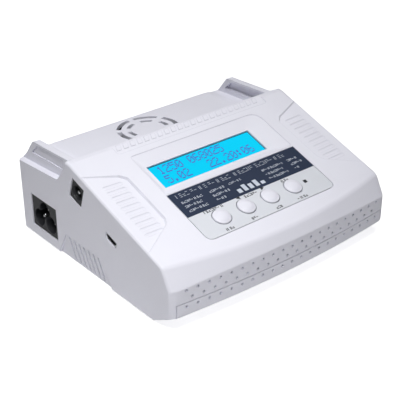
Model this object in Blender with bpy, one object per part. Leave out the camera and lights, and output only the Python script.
"""A balance battery charger: a white two-shell case with a sloping control panel, four push buttons,
a two-line display, a lowered rear deck over a cooling fan, sockets in both walls and the boards inside.

Sizes are in millimetres and become metres when a mesh is made. X runs to the right, the front faces -Y,
Z is up, and the origin lies on the desk under the middle of the case.
"""

import math

import bmesh
import bpy
from mathutils import Matrix

MM = 0.001
GAP = 0.3

# case: outer size and the swept front
HALF_WIDTH = 70.0
HALF_DEPTH = 65.3
FRONT_SWEEP = 4.0
CORNER = 3.0
CORNER_CUT = 1.3
SIDE_WALL = 2.6
WALL = 2.2
FOOT_HEIGHT = 0.8
FLOOR_TOP = 3.2
LIP_BOTTOM = 8.2
RAMP_START = -47.1
SEAM_Z = 15.3
BROW_Z, BROW_DROP = 24.8, 2.2

# sloping panel: it starts at the ridge and falls towards the front
PANEL_TILT = math.radians(18.2)
RIDGE_Y, RIDGE_Z = 16.1, 56.1
RIDGE_BACK = (19.3, 56.4)
PANEL_WALL = 2.4
PANEL_LENGTH, PANEL_SWEEP = 82.0, 7.5

# rear deck, side fins and the shelves outside them
DECK_TILT = math.radians(-2.86)
DECK_WALL = 2.1
DECK_FRONT = 19.5
FIN_OUTER, FIN_INNER = 66.3, 62.3
FIN_FRONT = (21.4, 54.6)
FIN_REAR = (54.5, 53.0)
KNEE = (61.4, 44.3)
REAR_TOP = 40.6

# cooling fan under the deck
FAN_X, FAN_Y, FAN_Z = -4.1, 40.9, 46.3
FAN_HALF = 20.0
FAN_TOP, FAN_BOTTOM = -3.0, -13.0
GRILLE_RINGS = ((9.3, 11.5, 17.0, 5), (14.4, 16.9, 24.0, 7))
HUB_RADIUS = 9.3
BLADES = 7

# things on the panel: X across, s down the slope from the ridge, h along its normal
BUTTON_X = {"stop": -24.75, "down": -9.35, "up": 6.05, "start": 21.45}
BUTTON_S = 61.8
BUTTON_RADIUS, BUTTON_HOLE = 4.7, 5.05
LABEL_LEFT, LABEL_RIGHT, LABEL_TOP, LABEL_END = -40.0, 42.3, 38.8, 71.5
LABEL_POCKET = 0.75
DISPLAY_X, DISPLAY_S = -3.2, 25.15
WINDOW_HALF_X, WINDOW_HALF_S = 32.8, 7.95
BOARD_H = -16.9
BOARD_THICK = 1.6
GRIP_DEPTH, GRIP_INNER = 1.4, 49.3

# sockets in the left wall
MAINS_Y, MAINS_Z = 42.85, 15.8
MAINS_HALF_Y, MAINS_HALF_Z = 11.5, 8.85
LOBES = {"live": (5.4, -2.6), "neutral": (-5.4, -2.6), "earth": (0.0, 3.2)}
LOBE_RADIUS = 4.4
JACK_S, JACK_H, JACK_HALF_S, JACK_HALF_H = 9.5, -10.6, 4.7, 5.6
DATA_S, DATA_H, DATA_HALF_S, DATA_HALF_H = 39.6, -15.0, 4.2, 1.6

# sockets in the right wall
OUTPUTS = {"minus": 26.0, "plus": 44.0}
OUTPUT_Z = 30.5
BALANCE_WAYS = (3, 4, 5, 6, 7)
BALANCE_PITCH = 2.5
BALANCE_START, BALANCE_Z, BALANCE_HALF_Z = -36.0, 21.0, 2.9

# cooling slots, feet, screws and the power board
SLOTS, SLOT_PITCH, SLOT_FIRST = 7, 4.1, -6.0
FEET = [(x, y) for x in (-48.0, 48.0) for y in (-36.0, 50.0)]
SCREWS = [(x, y) for x in (-60.0, 60.0) for y in (-42.0, 59.0)]
POWER_BOARD = (7.0, 8.6)
ON_BOARD = POWER_BOARD[1] + GAP

WHITE = (0.84, 0.84, 0.87, 1.0)
BLACK = (0.012, 0.012, 0.014, 1.0)
STEEL = (0.62, 0.63, 0.65, 1.0)
GREEN = (0.02, 0.16, 0.06, 1.0)

FLAT = Matrix.Identity(4)
PANEL = Matrix.Translation((0.0, RIDGE_Y, RIDGE_Z)) @ Matrix.Rotation(PANEL_TILT, 4, "X")
DECK = Matrix.Translation((FAN_X, FAN_Y, FAN_Z)) @ Matrix.Rotation(DECK_TILT, 4, "X")
SIDEWAYS = Matrix.Rotation(math.pi / 2, 4, "Y")


# ---------------------------------------------------------------- helpers

def clear_scene():
    for item in list(bpy.data.objects):
        bpy.data.objects.remove(item, do_unlink=True)


def material(name, colour, roughness, metallic=0.0):
    made = bpy.data.materials.new(name)
    made.use_nodes = True
    shader = made.node_tree.nodes["Principled BSDF"]
    shader.inputs["Base Color"].default_value = colour
    shader.inputs["Roughness"].default_value = roughness
    shader.inputs["Metallic"].default_value = metallic
    return made


def link(name, bm, finish=None, place=FLAT):
    """Make an object from a bmesh drawn in millimetres in the frame that place gives."""
    bmesh.ops.remove_doubles(bm, verts=bm.verts, dist=0.001)
    bmesh.ops.recalc_face_normals(bm, faces=bm.faces)
    bmesh.ops.scale(bm, vec=(MM, MM, MM), verts=bm.verts)
    mesh = bpy.data.meshes.new(name)
    bm.to_mesh(mesh)
    bm.free()
    made = bpy.data.objects.new(name, mesh)
    made.matrix_world = Matrix.Translation(place.translation * MM) @ place.to_3x3().to_4x4()
    bpy.context.scene.collection.objects.link(made)
    if finish:
        mesh.materials.append(finish)
        mesh.shade_smooth()
        mesh.set_sharp_from_angle(angle=math.radians(35))
    return made


def combine(target, tool, operation="DIFFERENCE"):
    """Cut a hidden tool out of a solid, or join it on."""
    tool.hide_render = True
    tool.display_type = "WIRE"
    change = target.modifiers.new(tool.name, "BOOLEAN")
    change.operation = operation
    change.object = tool


def box(bm, low, high, turn=FLAT):
    size = [b - a for a, b in zip(low, high)]
    middle = [(a + b) / 2 for a, b in zip(low, high)]
    place = turn @ Matrix.Translation(middle) @ Matrix.Diagonal((*size, 1.0))
    bmesh.ops.create_cube(bm, size=1.0, matrix=place)


def rod(bm, centre, radius, low, high, sides=20, turn=FLAT):
    """A cylinder along local Z between two heights."""
    place = turn @ Matrix.Translation((centre[0], centre[1], (low + high) / 2))
    bmesh.ops.create_cone(bm, cap_ends=True, segments=sides, radius1=radius, radius2=radius,
                          depth=high - low, matrix=place)


def skin(bm, rings, turn=FLAT):
    """Join equal rings of points into one closed solid with capped ends."""
    made = [[bm.verts.new(turn @ point) for point in map(to_vector, ring)] for ring in rings]
    for a, b in zip(made, made[1:]):
        for i in range(len(a)):
            j = (i + 1) % len(a)
            bm.faces.new((a[i], a[j], b[j], b[i]))
    bm.faces.new(made[0])
    bm.faces.new(made[-1])


def to_vector(point):
    return Matrix.Translation(point).translation


def prism_x(bm, outline, low, high, turn=FLAT):
    """Extrude a (Y, Z) outline along X."""
    skin(bm, [[(x, y, z) for y, z in outline] for x in (low, high)], turn)


def prism_z(bm, outline, low, high, turn=FLAT):
    """Extrude an (X, Y) outline along Z."""
    skin(bm, [[(x, y, z) for x, y in outline] for z in (low, high)], turn)


def turned(bm, profile, sides=24, turn=FLAT):
    """A solid of revolution about local Z; the profile runs from axis to axis or closes as a ring."""
    rings = []
    for radius, height in profile:
        count = sides if radius else 1
        rings.append([bm.verts.new(turn @ to_vector((radius * math.cos(2 * math.pi * i / sides),
                                                     radius * math.sin(2 * math.pi * i / sides), height)))
                      for i in range(count)])
    pairs = list(zip(rings, rings[1:]))
    if profile[0][0]:
        pairs.append((rings[-1], rings[0]))
    for a, b in pairs:
        for i in range(sides):
            j = (i + 1) % sides
            corners = (a[i % len(a)], a[j % len(a)], b[j % len(b)], b[i % len(b)])
            bm.faces.new(dict.fromkeys(corners))


def panel_box(bm, x_range, s_range, h_range):
    """A box on the panel: X across, s down the slope, h along the normal."""
    box(bm, (x_range[0], -s_range[1], h_range[0]), (x_range[1], -s_range[0], h_range[1]), PANEL)


def at(x, y, z=0.0):
    return Matrix.Translation((x, y, z))


def around(centre, half):
    return (centre - half, centre + half)


def solid(name, finish, *shapes, place=FLAT):
    """One object from a few drawing calls, each a function that takes the bmesh."""
    bm = bmesh.new()
    for shape in shapes:
        shape(bm)
    return link(name, bm, finish, place)


def cutter(target, name, *shapes, operation="DIFFERENCE"):
    combine(target, solid(target.name + "_" + name, None, *shapes), operation)


# ---------------------------------------------------------------- case outline

def front_y(x):
    """The front bulges: it is furthest forward in the middle."""
    return -HALF_DEPTH + FRONT_SWEEP * (x / HALF_WIDTH) ** 2


def on_panel(s, h):
    """A (Y, Z) point at slope distance s and height h over the panel."""
    return (RIDGE_Y - s * math.cos(PANEL_TILT) - h * math.sin(PANEL_TILT),
            RIDGE_Z - s * math.sin(PANEL_TILT) + h * math.cos(PANEL_TILT))


def deck_height(y):
    return FAN_Z + (y - FAN_Y) * math.tan(DECK_TILT)


def stations(half):
    """X positions across the case: an even run between the two corners."""
    inner = HALF_WIDTH - CORNER
    middle = [inner * step / 5 for step in range(-5, 6)]
    return [-half] + [x for x in middle if abs(x) < half - 1.0] + [half]


def outer_ring(x):
    sweep = (x / HALF_WIDTH) ** 2
    cut = CORNER_CUT if abs(x) > HALF_WIDTH - 0.1 else 0.0
    front, rear = front_y(x) + cut, HALF_DEPTH - cut
    outline = [(RAMP_START, FOOT_HEIGHT), (front, LIP_BOTTOM), (front, BROW_Z - BROW_DROP * sweep),
               on_panel(PANEL_LENGTH - PANEL_SWEEP * sweep, 0.0), (RIDGE_Y, RIDGE_Z), RIDGE_BACK,
               FIN_FRONT, FIN_REAR, KNEE, (rear, REAR_TOP), (rear, FOOT_HEIGHT)]
    return [(x, y, z) for y, z in outline]


def cavity_ring(x):
    """Inside of the case below the panel, open downwards."""
    sweep = (x / HALF_WIDTH) ** 2
    front = front_y(x) + WALL
    outline = [(front, -5.0), (front, BROW_Z - BROW_DROP * sweep - 1.0),
               on_panel(PANEL_LENGTH - PANEL_SWEEP * sweep - 1.2, -PANEL_WALL), on_panel(0.7, -PANEL_WALL),
               (17.3, 53.6), (17.3, 38.6), (HALF_DEPTH - WALL, 38.6), (HALF_DEPTH - WALL, -5.0)]
    return [(x, y, z) for y, z in outline]


def draw_bosses(bm):
    """What the shell keeps of the cavity: screw bosses, and posts that hold the control board."""
    for x, y in SCREWS:
        rod(bm, (x, y), 3.6, FLOOR_TOP + GAP, 70.0, sides=12)
    for x in (-50.0, 50.0):
        for s in (14.0, 66.0):
            rod(bm, (x, -s), 2.6, BOARD_H + GAP, 5.0, sides=12, turn=PANEL)


def draw_cavity(bm):
    skin(bm, [cavity_ring(x) for x in stations(HALF_WIDTH - SIDE_WALL)])


def draw_deck_cavity(bm):
    """The room for the fan between the fins, under the deck."""
    roof = [(y, deck_height(y) - DECK_WALL) for y in (17.0, 59.6)]
    outline = [(17.0, 38.0), *roof, (61.3, 42.55), (HALF_DEPTH - WALL, 40.85), (HALF_DEPTH - WALL, 38.0)]
    prism_x(bm, outline, -56.0, 56.0)


def draw_front_opening(bm):
    box(bm, (-HALF_WIDTH + SIDE_WALL, -80.0, -5.0), (HALF_WIDTH - SIDE_WALL, -50.0, SEAM_Z + GAP / 2))


# ---------------------------------------------------------------- cuts in the upper half

def draw_deck_bay(bm):
    front, behind, above = DECK_FRONT, 80.0, 70.0
    outline = [(front, above), (front, deck_height(front)), (behind, deck_height(behind)), (behind, above)]
    prism_x(bm, outline, -FIN_INNER, FIN_INNER)


def draw_shelf(bm, side):
    """The side wall steps down behind a rising curve, which leaves a shelf outside the fin."""
    curve = [(19.0, 54.7), (20.8, 51.6), (22.4, 49.7), (24.0, 47.5), (27.3, 43.4)]
    outline = [(18.2, 70.0), *curve, (80.0, 39.4), (80.0, 70.0)]
    prism_x(bm, outline, side * FIN_OUTER, side * 80.0)


def fin_recess(bm, side, x_from, x_to):
    outline = [(26.5, 53.0), (51.0, 51.6), (56.3, 46.4), (27.5, 47.7)]
    prism_x(bm, outline, side * x_from, side * x_to)


def draw_fin_recesses(bm):
    for side in (-1, 1):
        fin_recess(bm, side, FIN_OUTER - 0.7, 80.0)


def draw_fin_pockets(bm):
    for side in (-1, 1):
        fin_recess(bm, side, FIN_INNER - 5.0, FIN_INNER + 2.5)


def draw_grips(bm):
    """Shallow finger grips on both edges of the panel, deepest on their inner side."""
    outline = [(71.0, 9.9), (51.0, 17.3), (GRIP_INNER, 19.6), (GRIP_INNER, 50.0), (50.8, 53.2), (71.0, 65.8)]
    slope = GRIP_DEPTH / (HALF_WIDTH - GRIP_INNER)
    for side in (-1, 1):
        mouth = [(side * x, -s, 3.0) for x, s in outline]
        floor = [(side * x, -s, slope * (x - HALF_WIDTH)) for x, s in outline]
        skin(bm, [mouth, floor], PANEL)


def draw_grip_grooves(bm):
    for side in (-1, 1):
        for row in range(9):
            s = 21.5 + 3.9 * row
            ends = sorted((side * 53.0, side * 63.5))
            box(bm, (ends[0], -s - 0.6, -1.55), (ends[1], -s + 0.6, 0.5), PANEL)


def draw_display_recess(bm):
    """A frame whose flanks slope down to the display window."""
    upper = [(-40.6, 7.2), (43.9, 7.2), (43.9, 38.0), (-40.6, 38.0)]
    lower = [(-38.3, 15.6), (30.0, 15.6), (30.0, 34.9), (-38.3, 34.9)]
    skin(bm, [[(x, -s, 0.5) for x, s in upper], [(x, -s, -1.3) for x, s in lower]], PANEL)


def draw_display_window(bm):
    panel_box(bm, around(DISPLAY_X, WINDOW_HALF_X), around(DISPLAY_S, WINDOW_HALF_S), (-6.0, 2.0))


def label_outline(grow):
    """Square corners at the top and round ones at the bottom, as (X, -s) points."""
    left, right = LABEL_LEFT - grow, LABEL_RIGHT + grow
    end, radius = LABEL_END + grow, 4.0
    outline = [(left, -LABEL_TOP + grow)]
    for centre, start in ((left + radius, math.pi), (right - radius, 1.5 * math.pi)):
        for step in range(4):
            angle = start + step * math.pi / 6
            outline.append((centre + radius * math.cos(angle), -end + radius + radius * math.sin(angle)))
    return outline + [(right, -LABEL_TOP + grow)]


def draw_label_pocket(bm):
    prism_z(bm, label_outline(0.15), -LABEL_POCKET, 3.0, PANEL)


def draw_button_holes(bm):
    for x in BUTTON_X.values():
        rod(bm, (x, -BUTTON_S), BUTTON_HOLE, -6.0, 2.0, sides=28, turn=PANEL)


def draw_ridge_notches(bm):
    """A row of slanting notches along the top of the ridge."""
    for step in range(22):
        x = -42.0 + 4.25 * step
        outline = [(x, -1.6), (x + 1.5, -1.6), (x + 3.2, 1.6), (x + 1.7, 1.6)]
        prism_z(bm, outline, -0.6, 2.0, PANEL)


def draw_grille(bm):
    """Two rings of six arc slots, with spokes between them, round a plain disc."""
    for inner, outer, half_angle, steps in GRILLE_RINGS:
        for slot in range(6):
            start, step = 60 * slot - half_angle, 2 * half_angle / steps
            angles = [math.radians(start + step * i) for i in range(steps + 1)]
            outline = [(outer * math.cos(a), outer * math.sin(a)) for a in angles]
            outline += [(inner * math.cos(a), inner * math.sin(a)) for a in reversed(angles)]
            prism_z(bm, outline, -5.0, 3.0, DECK)


def draw_scoops(bm):
    """Each side wall leans inward over the cooling slots, deepest at the bottom."""
    top, bottom = (-5.7, 22.9, 14.8), (-17.5, 31.5, -1.0)
    for side in (-1, 1):
        rings = []
        for x_top, x_bottom in ((69.98, 68.2), (75.0, 75.0)):
            rings.append([(side * x_top, top[0], top[2]), (side * x_top, top[1], top[2]),
                          (side * x_bottom, bottom[1], bottom[2]), (side * x_bottom, bottom[0], bottom[2])])
        skin(bm, rings)


def draw_slots(bm):
    lean = Matrix.Rotation(math.radians(-14.5), 4, "X")
    for side in (-1, 1):
        for step in range(SLOTS):
            middle = (side * 69.0, SLOT_FIRST + SLOT_PITCH * step, 8.9)
            box(bm, (-4.0, -0.7, -5.5), (4.0, 0.7, 5.5), Matrix.Translation(middle) @ lean)


def draw_left_openings(bm):
    wall = (-75.0, -65.0)
    box(bm, (wall[0], MAINS_Y - MAINS_HALF_Y - GAP, MAINS_Z - MAINS_HALF_Z - GAP),
        (wall[1], MAINS_Y + MAINS_HALF_Y + GAP, MAINS_Z + MAINS_HALF_Z + GAP))
    panel_box(bm, wall, around(JACK_S, JACK_HALF_S + GAP), around(JACK_H, JACK_HALF_H + GAP))
    prism_x(bm, data_outline(GAP), *wall, PANEL)


def data_outline(grow):
    """The data socket is narrower at the bottom; points are (-s, h)."""
    half_s, half_h = DATA_HALF_S + grow, DATA_HALF_H + grow
    outline = [(-half_s, half_h), (half_s, half_h), (half_s, -half_h + 1.2), (half_s - 1.2, -half_h),
               (-half_s + 1.2, -half_h), (-half_s, -half_h + 1.2)]
    return [(a - DATA_S, b + DATA_H) for a, b in outline]


def balance_places():
    """Start and length of each balance socket along Y."""
    start = BALANCE_START
    for ways in BALANCE_WAYS:
        length = ways * BALANCE_PITCH + 2.4
        yield ways, start, length
        start += length + 0.6


def draw_right_openings(bm):
    last = list(balance_places())[-1]
    box(bm, (65.0, BALANCE_START - GAP, BALANCE_Z - BALANCE_HALF_Z - GAP),
        (75.0, last[1] + last[2] + GAP, BALANCE_Z + BALANCE_HALF_Z + GAP))
    for y in OUTPUTS.values():
        rod(bm, (-OUTPUT_Z, y), 4.6 + GAP, 65.0, 75.0, turn=SIDEWAYS)


def draw_screw_bores(bm):
    for x, y in SCREWS:
        rod(bm, (x, y), 1.75, FLOOR_TOP - 1.0, 16.0, sides=12)


def draw_case(bm):
    skin(bm, [outer_ring(x) for x in stations(HALF_WIDTH)])


def make_top_shell(finish):
    shell = solid("top_shell", finish, draw_case)
    cutter(shell, "deck_bay", draw_deck_bay)
    for side in (-1, 1):
        cutter(shell, "shelf", lambda bm: draw_shelf(bm, side))
    cutter(shell, "fin_recesses", draw_fin_recesses, draw_fin_pockets)
    cutter(shell, "grips", draw_grips, draw_display_recess)
    cutter(shell, "grip_grooves", draw_grip_grooves, draw_label_pocket, draw_ridge_notches)
    cutter(shell, "scoops", draw_scoops)
    room = solid("cavity", None, draw_cavity)
    cutter(room, "bosses", draw_bosses)
    combine(shell, room)
    cutter(shell, "fan_room", draw_deck_cavity)
    cutter(shell, "front_opening", draw_front_opening)
    cutter(shell, "window", draw_display_window, draw_button_holes, draw_grille)
    cutter(shell, "openings", draw_left_openings, draw_right_openings, draw_slots, draw_screw_bores)


# ---------------------------------------------------------------- lower half, feet and screws

def tray_ring(x):
    """Floor plate, rising ramp and front lip in one outline."""
    front, inside = front_y(x), front_y(x) + 2.0
    rear = HALF_DEPTH - WALL - GAP
    lip_top = SEAM_Z - GAP / 2
    outline = [(rear, FOOT_HEIGHT), (RAMP_START, FOOT_HEIGHT), (front, LIP_BOTTOM), (front, lip_top),
               (inside, lip_top), (inside, LIP_BOTTOM + 2.0), (RAMP_START + 0.5, FLOOR_TOP), (rear, FLOOR_TOP)]
    return [(x, y, z) for y, z in outline]


def draw_tray(bm):
    skin(bm, [tray_ring(x) for x in stations(HALF_WIDTH - SIDE_WALL - GAP)])


def draw_foot_seats(bm):
    for place in FEET:
        rod(bm, place, 5.8, -1.0, 1.8)


def draw_screw_seats(bm):
    for x, y in SCREWS:
        turn = at(x, y)
        turned(bm, [(0.0, -1.0), (3.3, -1.0), (3.3, 2.5), (1.75, 2.5), (1.75, 5.0), (0.0, 5.0)], 12, turn)


def draw_standoffs(bm):
    """Short pillars under the power board."""
    for x in (-44.0, 51.0):
        for y in (-31.0, 30.0):
            rod(bm, (x, y), 3.0, FLOOR_TOP - 1.0, POWER_BOARD[0] - GAP, sides=12)


def draw_floor_slots(bm):
    for step in range(6):
        x = -25.0 + 10.0 * step
        box(bm, (x - 1.2, 20.0, -1.0), (x + 1.2, 44.0, 5.0))


def make_bottom_shell(finish):
    shell = solid("bottom_shell", finish, draw_tray)
    cutter(shell, "seats", draw_foot_seats, draw_screw_seats, draw_floor_slots)
    cutter(shell, "standoffs", draw_standoffs, operation="UNION")


def make_feet(finish):
    profile = [(0.0, 0.0), (5.0, 0.0), (5.5, 0.5), (5.5, 1.5), (0.0, 1.5)]
    for number, (x, y) in enumerate(FEET, 1):
        solid("rubber_foot_%d" % number, finish, lambda bm: turned(bm, profile, 20), place=at(x, y))


def make_screws(finish):
    profile = [(0.0, 1.0), (3.0, 1.0), (3.0, 2.2), (1.4, 2.2), (1.4, 13.5), (0.0, 14.2)]
    for number, (x, y) in enumerate(SCREWS, 1):
        solid("case_screw_%d" % number, finish, lambda bm: turned(bm, profile, 12), place=at(x, y))


# ---------------------------------------------------------------- panel: label, display, buttons

def make_label(finish):
    label = solid("panel_label", finish, lambda bm: prism_z(bm, label_outline(-0.15), -0.45, 0.0, PANEL))
    cutter(label, "holes", draw_button_holes)


def make_display(finishes):
    x, s = DISPLAY_X, DISPLAY_S
    frame = solid("display_frame", finishes["black_metal"],
                  lambda bm: panel_box(bm, around(x, 36.0), around(s, 12.6), (-7.5, -2.7)))
    cutter(frame, "opening", lambda bm: panel_box(bm, around(x, 33.8), around(s, 9.8), (-9.0, -1.0)))
    solid("display_glass", finishes["display"],
          lambda bm: panel_box(bm, around(x, 33.5), around(s, 9.5), (-4.0, -2.9)))
    solid("display_backlight", finishes["diffuser"],
          lambda bm: panel_box(bm, around(x, 33.5), around(s, 9.5), (-7.5, -4.3)))
    solid("display_board", finishes["board"],
          lambda bm: panel_box(bm, around(x, 40.0), around(s, 18.0), (-9.4, -7.8)))
    solid("display_header", finishes["black"],
          lambda bm: panel_box(bm, around(x, 20.0), around(9.5, 1.25), (BOARD_H + GAP, -9.7)))


def make_button(name, x, finishes):
    """A domed cap with a collar under the panel and a stem over its switch plunger."""
    place = PANEL @ Matrix.Translation((x, -BUTTON_S, 0.0))
    cap = [(0.0, -12.1), (1.9, -12.1), (1.9, -3.6), (6.4, -3.6), (6.4, -2.75), (BUTTON_RADIUS, -2.75),
           (BUTTON_RADIUS, 0.3), (4.2, 0.9), (2.8, 1.3), (0.0, 1.45)]
    solid("button_" + name, finishes["white"], lambda bm: turned(bm, cap, 28), place=place)
    plunger = [(0.0, -15.0), (1.65, -15.0), (1.65, -12.4), (0.0, -12.4)]
    solid("plunger_" + name, finishes["black"], lambda bm: turned(bm, plunger, 12), place=place)
    switch = solid("switch_" + name, finishes["steel"],
                   lambda bm: box(bm, (-3.0, -3.0, BOARD_H + GAP), (3.0, 3.0, -13.1), place))
    cutter(switch, "bore", lambda bm: rod(bm, (0.0, 0.0), 1.95, -15.9, -12.0, sides=12, turn=place))


# ---------------------------------------------------------------- control board

def draw_control_board(bm):
    outline = [(-65.5, -5.0), (58.0, -5.0), (58.0, -58.0), (54.0, -58.0), (54.0, -72.0), (-54.0, -72.0),
               (-54.0, -58.0), (-65.5, -58.0)]
    prism_z(bm, outline, BOARD_H - BOARD_THICK, BOARD_H, PANEL)


def make_control_board(finishes):
    solid("control_board", finishes["board"], draw_control_board)
    solid("processor_chip", finishes["black"],
          lambda bm: panel_box(bm, (38.5, 50.5), (22.0, 34.0), (BOARD_H + GAP, BOARD_H + 1.7)))
    solid("sounder", finishes["black"],
          lambda bm: rod(bm, (47.0, -48.0), 6.0, BOARD_H + GAP, -8.5, turn=PANEL))


# ---------------------------------------------------------------- left wall sockets

def make_jack(finishes):
    face = -HALF_WIDTH + 0.4
    across, along = around(JACK_S, JACK_HALF_S), around(JACK_H, JACK_HALF_H)
    centre = PANEL @ at(0.0, -JACK_S, JACK_H) @ SIDEWAYS
    body = solid("dc_jack_body", finishes["black"], lambda bm: panel_box(bm, (face, -56.0), across, along))
    cutter(body, "bore", lambda bm: rod(bm, (0.0, 0.0), 3.3, -75.0, face + 9.5, turn=centre))
    pin = [(0.0, -68.8), (0.8, -68.8), (1.05, -68.4), (1.05, -60.5), (0.0, -60.5)]
    solid("dc_jack_pin", finishes["steel"], lambda bm: turned(bm, pin, 12, centre))


def make_data_socket(finishes):
    face = -HALF_WIDTH + 0.3
    shell = solid("data_socket_shell", finishes["steel"],
                  lambda bm: prism_x(bm, data_outline(0.0), face, -62.0, PANEL))
    cutter(shell, "mouth", lambda bm: prism_x(bm, data_outline(-0.45), -75.0, -62.8, PANEL))
    solid("data_socket_tongue", finishes["black"],
          lambda bm: panel_box(bm, (face + 0.8, -63.1), around(DATA_S, 2.7), around(DATA_H + 0.15, 0.35)))


def make_mains_inlet(finishes):
    face = -HALF_WIDTH + 0.4
    low = (face, MAINS_Y - MAINS_HALF_Y, MAINS_Z - MAINS_HALF_Z)
    high = (-51.0, MAINS_Y + MAINS_HALF_Y, MAINS_Z + MAINS_HALF_Z)
    body = solid("mains_inlet_body", finishes["black"], lambda bm: box(bm, low, high))
    pin = [(0.0, -67.4), (0.7, -67.2), (1.2, -66.6), (1.2, -56.9), (0.0, -56.9)]
    for name, (dy, dz) in LOBES.items():
        lobe = at(0.0, MAINS_Y + dy, MAINS_Z + dz) @ SIDEWAYS
        cutter(body, name, lambda bm: rod(bm, (0.0, 0.0), LOBE_RADIUS, -75.0, face + 13.0, turn=lobe))
        solid("mains_pin_" + name, finishes["steel"], lambda bm: turned(bm, pin, 12, lobe))



# ---------------------------------------------------------------- right wall sockets

def make_outputs(finishes):
    """Two 4 mm output sockets: an insulating body round a metal tube."""
    for name, y in OUTPUTS.items():
        centre = at(0.0, y, OUTPUT_Z) @ SIDEWAYS
        body = [(3.2, 57.0), (4.6, 57.0), (4.6, 69.7), (4.1, 70.0), (2.6, 70.0), (2.6, 69.2), (3.2, 69.2)]
        tube = [(0.0, 56.0), (2.9, 56.0), (2.9, 68.9), (2.05, 68.9), (2.05, 58.0), (0.0, 58.0)]
        finish = finishes["red" if name == "plus" else "black"]
        solid("output_%s_body" % name, finish, lambda bm: turned(bm, body, 24, centre))
        solid("output_%s_tube" % name, finishes["brass"], lambda bm: turned(bm, tube, 20, centre))


def make_balance_sockets(finishes):
    """One row of housings, open at the back, over a small board that carries all the pins."""
    low, high = BALANCE_Z - BALANCE_HALF_Z, BALANCE_Z + BALANCE_HALF_Z
    places = list(balance_places())
    end = places[-1][1] + places[-1][2]
    housings = solid("balance_sockets", finishes["ivory"],
                     lambda bm: box(bm, (60.2, BALANCE_START, low), (69.6, end, high)))
    board = solid("balance_board", finishes["board"],
                  lambda bm: box(bm, (58.3, -38.0, 10.0), (59.9, 43.0, 24.2)))
    for ways, start, length in places:
        cutter(housings, "pocket_%d" % ways,
               lambda bm: box(bm, (50.0, start + 0.8, low + 1.0), (80.0, start + length - 0.8, high - 1.0)))

    def draw_pins(bm):
        for ways, start, length in places:
            for step in range(ways):
                y = start + length / 2 + (step - (ways - 1) / 2) * BALANCE_PITCH
                box(bm, (59.0, y - 0.32, BALANCE_Z - 0.32), (68.2, y + 0.32, BALANCE_Z + 0.32))

    cutter(board, "pins", draw_pins, operation="UNION")


# ---------------------------------------------------------------- fan, in the deck's own frame

def make_fan(finishes):
    low, high = (-FAN_HALF, -FAN_HALF, FAN_BOTTOM), (FAN_HALF, FAN_HALF, FAN_TOP)
    frame = solid("fan_frame", finishes["black"], lambda bm: box(bm, low, high, DECK))
    cutter(frame, "bore", lambda bm: rod(bm, (0.0, 0.0), 18.7, -20.0, 5.0, 36, DECK))

    base = solid("fan_base", None,
                 lambda bm: rod(bm, (0.0, 0.0), 8.6, FAN_BOTTOM, FAN_BOTTOM + 1.2, 24, DECK))
    for degrees in (45, 135):
        turn = DECK @ Matrix.Rotation(math.radians(degrees), 4, "Z")
        cutter(base, "arm_%d" % degrees,
               lambda bm: box(bm, (-19.2, -1.0, FAN_BOTTOM + 0.2), (19.2, 1.0, FAN_BOTTOM + 1.0), turn),
               operation="UNION")
    combine(frame, base, "UNION")
    for x in (-16.4, 16.4):
        for y in (-16.4, 16.4):
            cutter(frame, "hole", lambda bm: rod(bm, (x, y), 1.6, -20.0, 5.0, 10, DECK))
    stator = [(1.2, -11.1), (7.6, -11.1), (7.6, -5.2), (1.2, -5.2)]
    solid("fan_stator", finishes["copper"], lambda bm: turned(bm, stator, 18, DECK))


def make_rotor(finish):
    """A hub cup with its shaft, and seven slanting blades."""
    hub = [(0.0, -10.6), (0.8, -10.6), (0.8, -4.9), (8.1, -4.9), (8.1, -10.4), (HUB_RADIUS, -10.4),
           (HUB_RADIUS, -4.0), (8.7, -3.4), (0.0, -3.4)]
    rotor = solid("fan_rotor", finish, lambda bm: turned(bm, hub, 21), place=DECK)

    def draw_blades(bm):
        for blade in range(BLADES):
            turn = DECK @ Matrix.Rotation(2 * math.pi * blade / BLADES, 4, "Z")
            root, tip = (8.7, math.radians(48)), (17.9, math.radians(30))
            rings = []
            for radius, pitch in (root, tip):
                run, rise = 3.6 * math.cos(pitch), 3.6 * math.sin(pitch)
                thick = 0.45
                rings.append([(radius, -run, -7.2 - rise - thick), (radius, run, -7.2 + rise - thick),
                              (radius, run, -7.2 + rise + thick), (radius, -run, -7.2 - rise + thick)])
            skin(bm, rings, turn)

    cutter(rotor, "blades", draw_blades, operation="UNION")


# ---------------------------------------------------------------- power board and what stands on it

def draw_storage_coil(bm):
    angles = [math.tau * i / 10 for i in range(10)]
    ring = [(10.0 + 4.0 * math.cos(a), 14.2 + 4.6 * math.sin(a)) for a in angles]
    turned(bm, ring, 20, at(38.0, 12.0))


def draw_heat_sink(bm):
    """A comb: seven fins on one base."""
    outline = [(-14.0, ON_BOARD), (26.0, ON_BOARD), (26.0, 19.0)]
    for fin in range(6):
        right = 26.0 - 1.6 - fin * 6.4
        outline += [(right, 19.0), (right, 11.6), (right - 4.8, 11.6), (right - 4.8, 19.0)]
    outline.append((-14.0, 19.0))
    skin(bm, [[(x, y, z) for x, z in outline] for y in (-24.0, -6.0)])


def draw_fuse(bm):
    """A glass tube between two caps, lying along X."""
    profile = [(0.0, -42.0), (2.6, -42.0), (2.6, -37.0), (2.3, -36.8), (2.3, -27.2), (2.6, -27.0),
               (2.6, -22.0), (0.0, -22.0)]
    turned(bm, profile, 14, at(0.0, -6.0, ON_BOARD + 2.8) @ SIDEWAYS)


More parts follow.
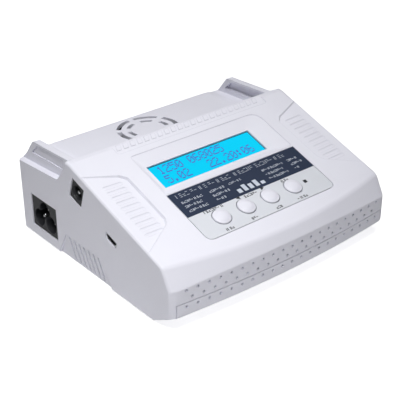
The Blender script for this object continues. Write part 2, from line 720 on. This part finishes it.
def make_transformer(finishes):
    core = solid("transformer_core", finishes["iron"],
                 lambda bm: box(bm, (-36.0, 12.0, ON_BOARD), (-10.0, 30.0, 27.0)))

    def draw_windows(bm):
        for low, high in ((-32.0, -26.6), (-19.4, -14.0)):
            box(bm, (low, 5.0, 12.5), (high, 40.0, 23.5))

    cutter(core, "windows", draw_windows)
    winding = solid("transformer_winding", finishes["tape"],
                    lambda bm: box(bm, (-31.7, 8.0, 12.8), (-14.3, 34.0, 23.2)))
    cutter(winding, "leg", lambda bm: box(bm, (-26.9, 11.7, 5.0), (-19.1, 30.3, 30.0)))


def make_power_board(finishes):
    solid("power_board", finishes["board"], lambda bm: box(bm, (-50.0, -37.0, 7.0), (57.5, 54.0, 8.6)))
    make_transformer(finishes)
    solid("mains_capacitor", finishes["sleeve"], lambda bm: rod(bm, (-38.0, 45.5), 8.0, ON_BOARD, 33.0))
    solid("output_capacitor", finishes["sleeve"], lambda bm: rod(bm, (34.0, 44.0), 6.5, ON_BOARD, 29.0))
    solid("storage_coil", finishes["copper"], draw_storage_coil)
    solid("heat_sink", finishes["aluminium"], draw_heat_sink)
    solid("power_transistor", finishes["black"],
          lambda bm: box(bm, (1.0, -29.0, ON_BOARD), (11.0, -24.6, 17.5)))
    solid("mains_fuse", finishes["glass"], draw_fuse)
    solid("ribbon_lead", finishes["grey"], lambda bm: box(bm, (34.0, -14.0, ON_BOARD), (46.0, -13.0, 26.3)))


def make_finishes():
    return {
        "white": material("white_plastic", WHITE, 0.42),
        "black": material("black_plastic", BLACK, 0.45),
        "black_metal": material("blackened_metal", BLACK, 0.35, 0.8),
        "label": material("printed_film", (0.55, 0.58, 0.63, 1.0), 0.4),
        "display": material("display_glass", (0.0, 0.62, 0.95, 1.0), 0.12),
        "diffuser": material("diffuser", (0.75, 0.85, 0.9, 1.0), 0.5),
        "board": material("circuit_board", GREEN, 0.5),
        "rubber": material("rubber", (0.02, 0.02, 0.022, 1.0), 0.85),
        "steel": material("steel", STEEL, 0.3, 1.0),
        "brass": material("gilt_brass", (0.8, 0.6, 0.25, 1.0), 0.28, 1.0),
        "copper": material("enamelled_copper", (0.6, 0.24, 0.08, 1.0), 0.35, 0.9),
        "iron": material("ferrite", (0.05, 0.05, 0.055, 1.0), 0.6),
        "tape": material("yellow_tape", (0.8, 0.6, 0.06, 1.0), 0.5),
        "sleeve": material("capacitor_sleeve", (0.02, 0.03, 0.09, 1.0), 0.35),
        "aluminium": material("aluminium", (0.7, 0.71, 0.72, 1.0), 0.4, 1.0),
        "glass": material("fuse_glass", (0.75, 0.78, 0.78, 1.0), 0.15),
        "grey": material("grey_ribbon", (0.4, 0.41, 0.43, 1.0), 0.55),
        "red": material("red_plastic", (0.6, 0.015, 0.015, 1.0), 0.4),
        "ivory": material("ivory_plastic", (0.78, 0.76, 0.7, 1.0), 0.45),
    }


def main():
    clear_scene()
    finishes = make_finishes()
    make_top_shell(finishes["white"])
    make_bottom_shell(finishes["white"])
    make_feet(finishes["rubber"])
    make_screws(finishes["steel"])
    make_label(finishes["label"])
    make_display(finishes)
    for name, x in BUTTON_X.items():
        make_button(name, x, finishes)
    make_control_board(finishes)
    make_jack(finishes)
    make_data_socket(finishes)
    make_mains_inlet(finishes)
    make_outputs(finishes)
    make_balance_sockets(finishes)
    make_fan(finishes)
    make_rotor(finishes["black"])
    make_power_board(finishes)


main()
